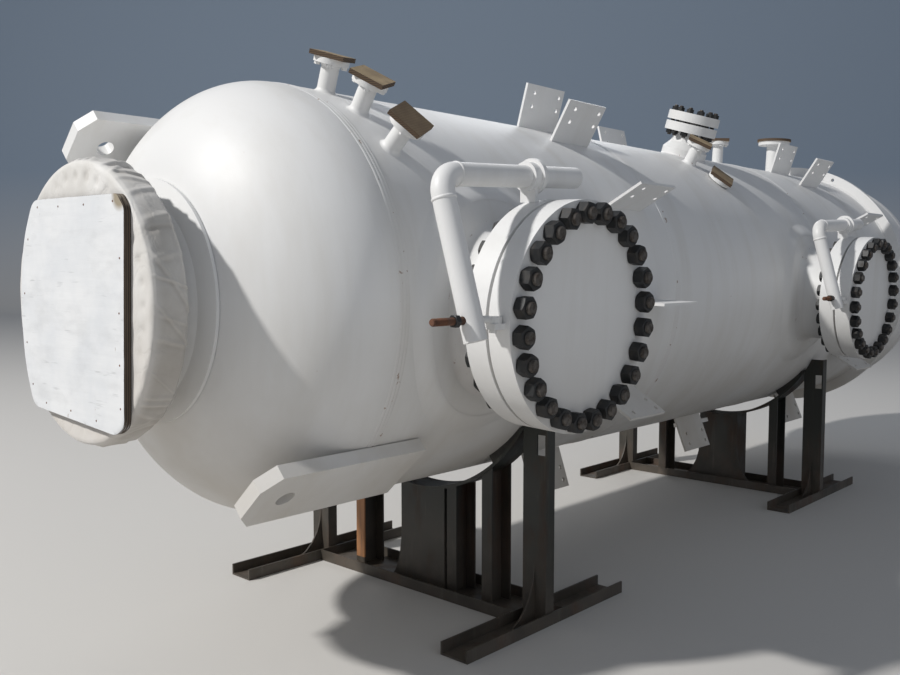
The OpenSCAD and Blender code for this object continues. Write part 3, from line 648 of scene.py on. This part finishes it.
def foldRidges(t, along):
    # each fold is a ridge exp(-(angle from its line / width)^2) beside a hollow, on a line that slants back
    rng = np.random.default_rng(17)
    folds, pleats = wrap["folds"], wrap["pleats"]
    places = np.sort(rng.uniform(0, 2 * np.pi, folds))
    widths, slants = rng.uniform(0.010, 0.035, folds), rng.normal(0, 1.2, folds)
    heights = rng.uniform(0.25, 1.0, folds)
    # narrow pleats side by side over the top of the rim
    pleatPlaces = np.linspace(-1.0, 0.55, pleats) + rng.uniform(-0.02, 0.02, pleats)
    places, slants = np.r_[places, pleatPlaces], np.r_[slants, rng.normal(0.3, 0.35, pleats)]
    widths = np.r_[widths, rng.uniform(0.8, 1.5, pleats) * wrap["pleatWidth"]]
    heights = np.r_[heights, rng.uniform(0.6, 1.25, pleats)]
    ridge = np.zeros_like(along)
    for place, width, slant, height in zip(places, widths, slants, heights):
        off = angleFrom(t, place + slant * along)
        hollow = 0.45 * np.exp(-((off - 1.7 * width) / (1.3 * width)) ** 2)
        ridge += height * (np.exp(-(off / width) ** 2) - hollow)
    return ridge


def facetHeights(t, onRim):
    # straight runs between random heights round each row, and straight again from one row to the next
    turn = np.mod(t[0], 2 * np.pi)
    rows = []
    for count, seed, amount in facetRows:
        draw = np.random.default_rng(seed)
        at = np.sort(draw.uniform(0, 2 * np.pi, count))
        rows.append(np.interp(turn, at, draw.uniform(-0.5, 1.0, count) * amount, period=2 * np.pi)[None, :])
    first, second = np.clip(onRim * 2, 0, 1), np.clip(onRim * 2 - 1, 0, 1)
    return rows[0] * (1 - first) + rows[1] * (first - second) + rows[2] * second


def clothWrap():
    low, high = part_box("end_wrap")
    boardLow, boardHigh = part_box("end_board")
    face, rimEnd = wrap["face"], wrap["face"] + wrap["rimLength"]
    total = rimEnd + wrap["skirt"]
    # rings s along the cloth: wide apart under the board, close together on the loose face, rim and skirt
    spans = ((0.002, 0.30, 6), (0.34, face, 30), (face + 0.004, rimEnd, 34), (rimEnd + 0.004, total, 29))
    s = np.concatenate([np.linspace(*span) for span in spans])[:, None]
    t = np.linspace(0, 2 * np.pi, wrap["steps"], endpoint=False)[None, :]
    onRim = np.clip((s - face) / wrap["rimLength"], 0, 1)
    onSkirt = np.clip((s - rimEnd) / wrap["skirt"], 0, 1)
    pastEdge = np.clip(onRim * 4, 0, 1)
    # the profile: radius s over the face, then straight back over the rim, then in towards the neck
    radius = np.minimum(s, face) + (wrap["rimRadius"] - face) * np.clip(onRim * 8, 0, 1) + 0 * t
    drawnIn = 1 - np.sqrt(np.clip(1 - onSkirt ** 1.6, 0, 1)) * 0.72 - 0.28 * (1 - onSkirt)
    radius = radius - (wrap["rimRadius"] - wrap["hemRadius"]) * drawnIn
    back = onRim * wrap["rimLength"] + wrap["hemBack"] * onSkirt ** 0.8 + 0 * t
    along = back + 0.02
    ridge = foldRidges(t, along)
    rimFold, skirtFold = wrap["foldOnRim"] * pastEdge, wrap["foldOnSkirt"] * onSkirt
    radius += ridge * (rimFold * (1 - onSkirt) + skirtFold * (1 - 0.5 * onSkirt))
    ripple = np.sin(23 * t + 3.1 * np.sin(2 * t) + 60 * along) * 0.35
    ripple = ripple + np.sin(41 * t + 2.0 * np.sin(3 * t + 1) - 35 * along) * 0.25
    radius += ripple * (wrap["rippleOnRim"] * pastEdge + wrap["rippleOnSkirt"] * onSkirt)
    radius += np.clip(onRim * 12, 0, 1) * facetHeights(t, onRim)
    # the sag: loose cloth hangs away from the rim underneath
    radius += wrap["sag"] * np.clip(-np.cos(t), 0, 1) * np.clip(onRim * 3, 0, 1) * (0.6 + 0.4 * np.sin(9 * t))
    y, z = -radius * np.sin(t), vessel["axisHeight"] + radius * np.cos(t)
    # the face: pressed flat under the board, loose by the rim, with a dent at each bolt hole of the flange
    pastBoard = np.maximum.reduce([boardLow.y - y, y - boardHigh.y, boardLow.z - z, z - boardHigh.z])
    loose = np.clip((pastBoard + wrap["underBoard"]) / wrap["boardFade"], 0, 1)
    loose = loose * np.clip((face - s) / wrap["edgeFade"], 0, 1)
    hole = angleFrom(t * wrap["dents"], 0) / wrap["dents"] * wrap["dentCircle"]
    dent = np.exp(-(hole ** 2 + (s - wrap["dentCircle"]) ** 2) / wrap["dentRadius"] ** 2)
    dent = dent * (0.25 + 0.75 * (0.5 + 0.5 * np.sin(5 * t + 0.7)) * (0.5 + 0.5 * np.cos(t)))
    pucker = np.sin(11 * t + 4 * np.sin(3 * t)) * 0.5 + np.sin(27 * t + 30 * s) * 0.22
    forward = loose * (wrap["front"] * (0.55 + 0.25 * pucker) - wrap["dentDepth"] * dent)
    x = low.x + wrap["clearance"] - np.clip(forward, 0.0, wrap["frontLimit"]) + back
    points = np.stack([x, y, z], -1)
    # the ragged hem: its last rings go in and out
    hem = wrap["hemWave"] * np.sin(17 * t + 2 * np.sin(5 * t)) + wrap["hemRagged"] * np.sin(43 * t)
    points[-3:, :, 0] += hem * np.array([[0.3], [0.7], [1.0]])
    # painted shade: some in the dents and on the rim, more in the folds' hollows, most at the hem and
    # underneath
    under = np.clip(0.5 - 0.5 * np.cos(t), 0, 1)
    paintedShade = (0.34 + 0.5 * np.clip(-ridge, 0, 0.5)) * np.clip(onRim * 3, 0, 1) + wrap["skirtShade"] * onSkirt
    paintedShade = paintedShade + 0.20 * under * np.clip(onRim * 3 + 0.25, 0, 1) + wrap["dentShade"] * dent * loose
    made = piece("end_cloth_wrap", surface(points, closeCols=True), materials["cloth"], 0,
                 uv=np.stack([s * np.cos(t), s * np.sin(t)], -1), attributes={"paintedShade": paintedShade})
    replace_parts(made, "end_wrap")


clothWrap()


# Painted board over the wrapped flange, with nails

board = {"reach": 0.5425, "steps": 360, "rings": 16, "front": 0.0004, "frontShare": 0.9975, "back": 0.0003,
         "backShare": 0.995, "layers": 13, "firstLayer": 0.0012, "lastLayer": 0.0006, "layerStep": 0.0028,
         "tears": 60, "tearDepth": 0.0020,
         "nails": 15, "nailInset": 0.034, "nailShift": 0.014, "nailRadius": 0.0042, "nailHeight": 0.0013}
# the board's corners as shares of its reach from the vessel axis, each with its cut in metres
boardCorners = [(0.599, 0.759, 0.05), (0.783, 0.461, 0.09), (0.866, 0.018, 0.11), (0.82, -0.47, 0.09),
                (0.686, -0.793, 0.05), (-0.575, -0.876, 0.03), (-0.697, -0.807, 0.03), (-0.765, 0.645, 0.02),
                (-0.678, 0.741, 0.02)]


def roundedOutline(corners, steps=12):
    # each corner C is a curve (1-u)^2 A + 2u(1-u) C + u^2 B, with A and B its cut away along both sides
    spots = np.array([(y, z) for y, z, cut in corners]) * board["reach"]
    cuts = np.array([cut for y, z, cut in corners])[:, None]
    before, after = np.roll(spots, 1, 0) - spots, np.roll(spots, -1, 0) - spots
    first = spots + before / np.linalg.norm(before, axis=1)[:, None] * cuts
    last = spots + after / np.linalg.norm(after, axis=1)[:, None] * cuts
    u = np.linspace(0, 1, steps)[None, :, None]
    curves = (1 - u) ** 2 * first[:, None] + 2 * u * (1 - u) * spots[:, None] + u ** 2 * last[:, None]
    return curves.reshape(-1, 2)


def paintedCover():
    low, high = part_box("end_board")
    corners = roundedOutline(boardCorners)
    # even steps along the outline
    loop = np.vstack([corners, corners[:1]])
    length = np.r_[0, np.cumsum(np.linalg.norm(np.diff(loop, axis=0), axis=1))]
    walk = np.linspace(0, length[-1], board["steps"], endpoint=False)
    rim = np.stack([np.interp(walk, length, loop[:, 0]), np.interp(walk, length, loop[:, 1])], -1)
    middle = rim.mean(0)
    rng = np.random.default_rng(4)
    front = low.x + board["front"]
    shares = np.linspace(0.0, 1.0, board["rings"]) ** 0.5
    rings = [(front, middle + (rim - middle) * share * board["frontShare"]) for share in shares]
    # the edge: each ply stands in or out by its own ragged amount
    layers = np.linspace(low.x + board["firstLayer"], high.x - board["lastLayer"], board["layers"])
    for number, x in enumerate(layers):
        tearPlaces = np.sort(rng.uniform(0, length[-1], board["tears"]))
        tears = np.interp(walk, tearPlaces, rng.uniform(0, 1, board["tears"]))
        inset = 1 - board["layerStep"] * (number % 2) - board["tearDepth"] * tears
        rings.append((x, middle + (rim - middle) * inset[:, None]))
    back = high.x - board["back"]
    rings += [(back, middle + (rim - middle) * share * board["backShare"]) for share in shares[::-1]]
    points = np.stack([np.column_stack([x + 0 * walk, spots[:, 0], spots[:, 1] + vessel["axisHeight"]])
                       for x, spots in rings])
    cover = surface(points, closeCols=True)
    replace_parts(piece("end_painted_board", cover, materials["board"], 40), "end_board")
    # nails: low domes set in from the edge, unevenly spaced
    count, radius, height = board["nails"], board["nailRadius"], board["nailHeight"]
    shift = rng.uniform(-board["nailShift"], board["nailShift"], count)
    at = np.sort((np.arange(count) / count + shift) % 1.0) * length[-1]
    outward = (rim - middle) / np.linalg.norm(rim - middle, axis=1)[:, None]
    nailLine = rim - outward * board["nailInset"]
    places = np.zeros((count, 3, 4))
    places[:, 0, 2], places[:, 1, 1], places[:, 2, 0] = -1, 1, 1
    places[:, 0, 3] = front
    places[:, 1, 3] = np.interp(at, walk, nailLine[:, 0])
    places[:, 2, 3] = np.interp(at, walk, nailLine[:, 1]) + vessel["axisHeight"]
    dome = turned(np.array([[radius, 0], [radius * 0.8, 0.0010], [0.0004, height]]), 14)
    piece("board_nails", copies(dome, places), materials["rust"], 40)


paintedCover()
print("board made")


# Weld beads, fillets and small fastenings

beads = {"seamWidth": 0.056, "seamHeight": 0.0040, "seamSunk": 0.0012, "passes": 3, "ripple": 0.04,
         "rippleLength": 0.011, "ringSeam": 5.691, "ringWidth": 0.014, "ringHeight": 0.010,
         "neck": 0.345, "neckFillet": 0.045, "smallFillet": 0.020, "blankFillet": 0.012, "sunk": 0.001,
         "padRadius": 0.472, "padTop": 0.0245, "padBlend": 0.100,
         "pipeHeight": 0.0045, "pipeHalf": 0.0065, "belowBend": 0.012, "besideBend": 0.010}


def beadAround(centres, outward, along, width, height, passes):
    # a weld bead: rounded humps side by side under an arch sqrt(1 - w^2) * height, its size rippled along it
    length = np.cumsum(np.r_[0, np.linalg.norm(np.diff(centres, axis=0), axis=1)])[:, None]
    turns = length * 2 * np.pi / beads["rippleLength"]
    wave = 1 + beads["ripple"] * (np.sin(turns) + np.sin(length * 7.3)) / 2
    w = np.linspace(-1, 1, 6 * passes + 1)[None, :]
    hump = np.sqrt(np.abs(np.sin((w + 1) * np.pi * passes / 2))) * 0.45 + np.sqrt(1 - w * w) * 0.55
    side, up = w * width / 2 * wave, (hump * height - beads["seamSunk"]) * wave
    points = centres[:, None, :] + side[..., None] * along[:, None, :] + up[..., None] * outward[:, None, :]
    return surface(points, closeRows=True)


def circleBead(x, radius, width, height, passes=1, steps=480):
    # a bead round the vessel at x, on a circle of the given radius
    t = np.linspace(0, 2 * np.pi, steps, endpoint=False)
    out = np.stack([0 * t, np.sin(t), np.cos(t)], -1)
    centres = out * radius + np.array([x, 0, vessel["axisHeight"]])
    return beadAround(centres, out, np.tile([1.0, 0, 0], (steps, 1)), width, height, passes)


def collar(x, angle, profile, steps=300):
    # a ring round a neck: a profile of (r, h) carried to (r cos t, r sin t), dropped to h above the shell
    t = np.linspace(0, 2 * np.pi, steps, endpoint=False)[None, :]
    r, out = profile[:, :1], vessel["radius"] + profile[:, 1:2]
    a = math.radians(angle) - np.arcsin(r * np.sin(t) / out)
    points = np.stack([x + r * np.cos(t), -out * np.sin(a), vessel["axisHeight"] + out * np.cos(a)], -1)
    return surface(points, closeCols=True)


def fillet(radius, base, size):
    # a hollow quarter circle from the neck's side down to the plate that it stands on, sunk a little into it
    u = np.linspace(0, np.pi / 2, 9)
    return np.stack([radius + size * (1 - np.cos(u)), base - beads["sunk"] + size * (1 - np.sin(u))], -1)


# small nozzles: distance from the near seam, angle, neck, then flange face and bolt circle where nuts show
smallNozzles = [
    (0.150, 19, 0.040, 1.095, 0.059), (0.150, 33.5, 0.040, 1.095, 0.059), (0.150, 49, 0.040, 1.095, 0.059),
    (3.049, 30.6, 0.040, 1.095, 0.059), (4.309, 2.6, 0.040, 1.124, 0.059), (5.320, 2.6, 0.057, 1.221, 0.100),
    (3.560, 165, 0.057, None, None),
]
smallNut = {"flats": 0.024, "height": 0.014, "bore": 0.007, "under": 0.024, "count": 4, "phase": 45}
# each davit pipe hangs in a sagged and tilted frame: its post's place, its elbow and bend, and its radius
davit = {"post": -0.125, "off": 0.084, "behind": 0.088, "sag": 2.9, "tilt": -16.8,
         "elbow": -0.530, "bend": 0.080, "radius": 0.0445, "rim": 0.470}


def smallNozzleWork():
    # a fillet round each small neck, and nuts under the flanges that carry a board
    welds, nuts = [], []
    nut = hexNut(smallNut["flats"], smallNut["height"], smallNut["bore"], 18)
    for offset, angle, neck, face, circle in smallNozzles:
        x = vessel["seamX"] + offset
        welds.append(collar(x, angle, fillet(neck, 0.0, beads["smallFillet"]), 96))
        if face:
            height = face - smallNut["under"]
            under = boltCircle(smallNut["count"], circle, height, smallNut["phase"], True, 21)
            nuts.append(copies(nut, combined(radialFrame(x, angle), under)))
    piece("small_nozzle_nuts", joined(nuts), materials["vessel"], 30)
    return welds


def davitBeads(manway):
    # half rounds about the davit's pipe where its bend ends
    size = {key: value * manway["size"] for key, value in davit.items()}
    hump = np.linspace(0, np.pi, 9)
    outward = size["radius"] - beads["sunk"] + beads["pipeHeight"] * np.sin(hump)
    ring = turned(np.stack([outward, -beads["pipeHalf"] * np.cos(hump)], -1), 48)
    sag, tilt = math.radians(davit["sag"]), math.radians(davit["tilt"])
    turn = Matrix.Rotation(sag, 3, "Z") @ Matrix.Rotation(tilt, 3, "X")
    seat = (size["post"], size["rim"] + size["off"],
            gapPlane - bolting["gap"] * manway["size"] / 2 - size["behind"])
    hanging = np.array([[*turn[i], seat[i]] for i in range(3)])
    hung = combined(radialFrame(manway["x"], vessel["manwayAngle"]), hanging[None])[0]
    below, beside = size["bend"] + beads["belowBend"], size["bend"] + beads["besideBend"]
    spots = np.array([[[1, 0, 0, size["elbow"]], [0, 0, -1, -below], [0, 1, 0, 0]],
                      [[0, 0, 1, size["elbow"] + beside], [0, 1, 0, 0], [-1, 0, 0, 0]]], float)
    return copies(ring, combined(hung, spots))


def weldBeads():
    courses = range(shells["courses"] + 1)
    seams = [vessel["seamX"] + vessel["length"] * k / shells["courses"] for k in courses]
    seamSize = beads["seamWidth"], beads["seamHeight"], beads["passes"]
    welds = [circleBead(x, vessel["radius"], *seamSize) for x in seams]
    welds += smallNozzleWork()
    blends = []
    u = np.linspace(0, 1, 12)
    # the pad's edge is dressed flush: its height falls as (1 + cos(pi u)) / 2 over the blend's width
    fall = (beads["padTop"] + beads["sunk"]) * (1 + np.cos(np.pi * u)) / 2 - beads["sunk"] * u
    for manway in manways:
        k = manway["size"]
        neck = fillet(beads["neck"] * k, beads["padTop"], beads["neckFillet"] * k)
        welds += [collar(manway["x"], vessel["manwayAngle"], neck, 400), davitBeads(manway)]
        blend = np.stack([(beads["padRadius"] + beads["padBlend"] * u) * k, fall], -1)
        blends.append(collar(manway["x"], vessel["manwayAngle"], blend, 500))
    welds.append(collar(blank["x"], blank["angle"], fillet(blank["neck"], 0.0, beads["blankFillet"]), 200))
    ringX = vessel["seamX"] + beads["ringSeam"]
    welds.append(circleBead(ringX, vessel["radius"], beads["ringWidth"], beads["ringHeight"]))
    piece("weld_beads", joined(welds), materials["weld"], 60)
    piece("pad_edges", joined(blends), materials["vessel"], 60)


weldBeads()
print("weld beads made")


# Floor, light and camera

view = {"place": (-3.584, -3.486, 1.712), "heading": 47.27, "pitch": -4.20, "focal": 928.3, "imageWidth": 900,
        "sensor": 36.0, "farEnd": 200}
room = {"reach": 60.0, "wall": 30.0, "cove": 6.0, "top": 26.0, "sunk": 0.0005,
        "ground": (0.60, 0.585, 0.56), "backdrop": (0.36, 0.44, 0.54), "fadeFrom": 0.3, "fadeTo": 6.0}
lamps = [
    {"name": "keyLight", "place": (-17.4, 7.6, 17.8), "target": (1.0, 0, 1.6), "size": 1.2, "power": 5900,
     "color": (1.0, 0.98, 0.95)},
    {"name": "fillLight", "place": (-3.5, -11.0, 4.5), "target": (1.5, 0, 1.2), "size": 8.0, "power": 95,
     "color": (0.92, 0.96, 1.0)},
    {"name": "rimLight", "place": (9.0, 5.0, 8.0), "target": (2.0, 0, 1.5), "size": 5.0, "power": 150,
     "color": (0.96, 0.98, 1.0)},
]
sky = {"color": (0.80, 0.87, 1.0, 1), "strength": 0.25}


def backdropPaper():
    # pale ground colour low down, grey-blue above it
    material, tree, shader, place = newMaterial("studioPaper", 0.9)
    rise = remap(tree, axes(tree, place)["Z"], room["fadeFrom"], room["fadeTo"])
    feed(tree, shader.inputs["Base Color"], mixed(tree, rise, room["ground"], room["backdrop"]))
    return material


def studio():
    # a floor that curves up into a back wall across the view: flat, then a quarter circle, then straight up
    bend = np.linspace(0, np.pi / 2, 24)
    cove, wall = room["cove"], room["wall"]
    u = np.concatenate([[-room["reach"]], wall + cove * np.sin(bend), [wall + cove]])
    h = np.concatenate([[0.0], cove - cove * np.cos(bend), [room["top"]]]) - room["sunk"]
    v = np.linspace(-room["reach"], room["reach"], 2)
    heading = math.radians(view["heading"])
    forward = np.array([math.sin(heading), math.cos(heading), 0])
    side = np.array([forward[1], -forward[0], 0])
    points = u[:, None, None] * forward + v[None, :, None] * side + h[:, None, None] * np.array([0, 0, 1.0])
    spots, faces = surface(points)
    mesh = bpy.data.meshes.new("studioFloor")
    mesh.from_pydata(spots.tolist(), [], faces.tolist())
    mesh.polygons.foreach_set("use_smooth", np.ones(len(faces), bool))
    mesh.materials.append(backdropPaper())
    floor = bpy.data.objects.new("studioFloor", mesh)
    bpy.context.scene.collection.objects.link(floor)


def areaLight(lamp):
    light = bpy.data.lights.new(lamp["name"], "AREA")
    light.shape, light.size, light.energy, light.color = "DISK", lamp["size"], lamp["power"], lamp["color"]
    made = bpy.data.objects.new(lamp["name"], light)
    made.location = lamp["place"]
    made.rotation_euler = (Vector(lamp["target"]) - Vector(lamp["place"])).to_track_quat("-Z", "Y").to_euler()
    bpy.context.scene.collection.objects.link(made)


def photoCamera():
    camera = bpy.data.objects.new("photoCamera", bpy.data.cameras.new("photoCamera"))
    camera.data.sensor_width = view["sensor"]
    camera.data.lens = view["sensor"] * view["focal"] / view["imageWidth"]
    camera.data.clip_end = view["farEnd"]
    heading, pitch = math.radians(view["heading"]), math.radians(view["pitch"])
    look = Vector((math.sin(heading) * math.cos(pitch), math.cos(heading) * math.cos(pitch), math.sin(pitch)))
    camera.location = view["place"]
    camera.rotation_euler = look.to_track_quat("-Z", "Y").to_euler()
    bpy.context.scene.collection.objects.link(camera)
    bpy.context.scene.camera = camera


studio()
for lamp in lamps:
    areaLight(lamp)
photoCamera()
world = bpy.data.worlds.new("studioWorld")
bpy.context.scene.world = world
world.use_nodes = True
world.node_tree.nodes["Background"].inputs["Color"].default_value = sky["color"]
world.node_tree.nodes["Background"].inputs["Strength"].default_value = sky["strength"]
bpy.context.scene.view_settings.view_transform = "Standard"
print("studio and camera set")
